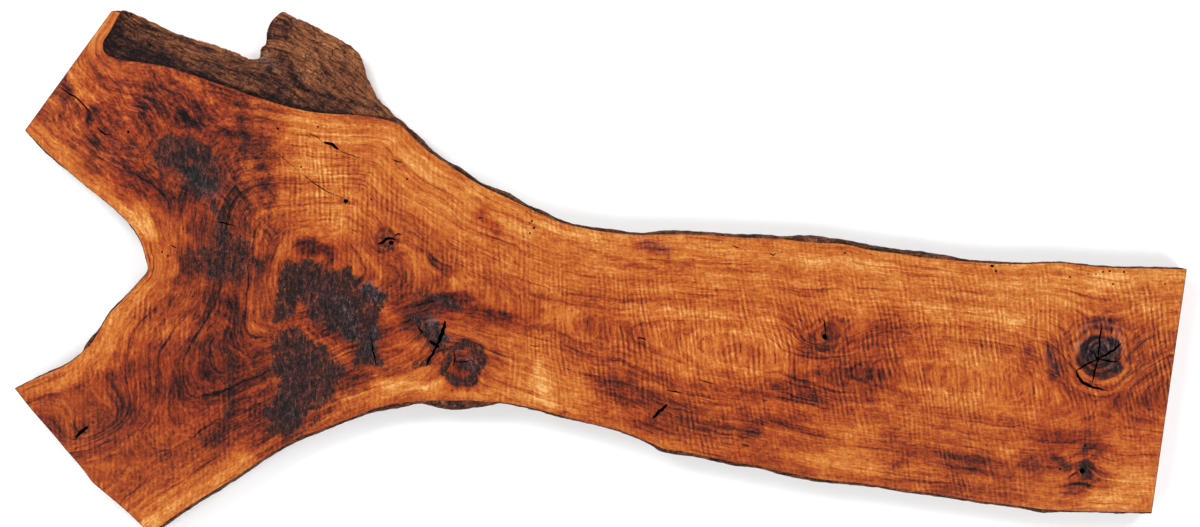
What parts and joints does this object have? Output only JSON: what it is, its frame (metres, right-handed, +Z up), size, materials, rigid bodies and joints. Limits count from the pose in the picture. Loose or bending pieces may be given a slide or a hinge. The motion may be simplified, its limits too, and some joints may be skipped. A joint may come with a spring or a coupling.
{
  "type": "live-edge walnut wood slab",
  "caption": "Flat forked slab of oiled walnut with natural bark edges, three sawn ends, knots, drying cracks and a weathered wane with a broken branch stub.",
  "frame": {"origin": "middle of the underside: the centre of the slab's box in plan, on the plane of its underside", "axes": "+X along the trunk, from the forked limbs towards the trunk's sawn end; +Y across the slab towards the weathered wane and stub; +Z up through the oiled face"},
  "size_m": [2.3456, 1.051, 0.055],
  "materials": {
    "oiled_walnut": "oiled, satin, with knots, dark fork figure and ripple"
  },
  "bodies": {
    "root": {"slab": "oiled_walnut"}
  },
  "joints": []
}
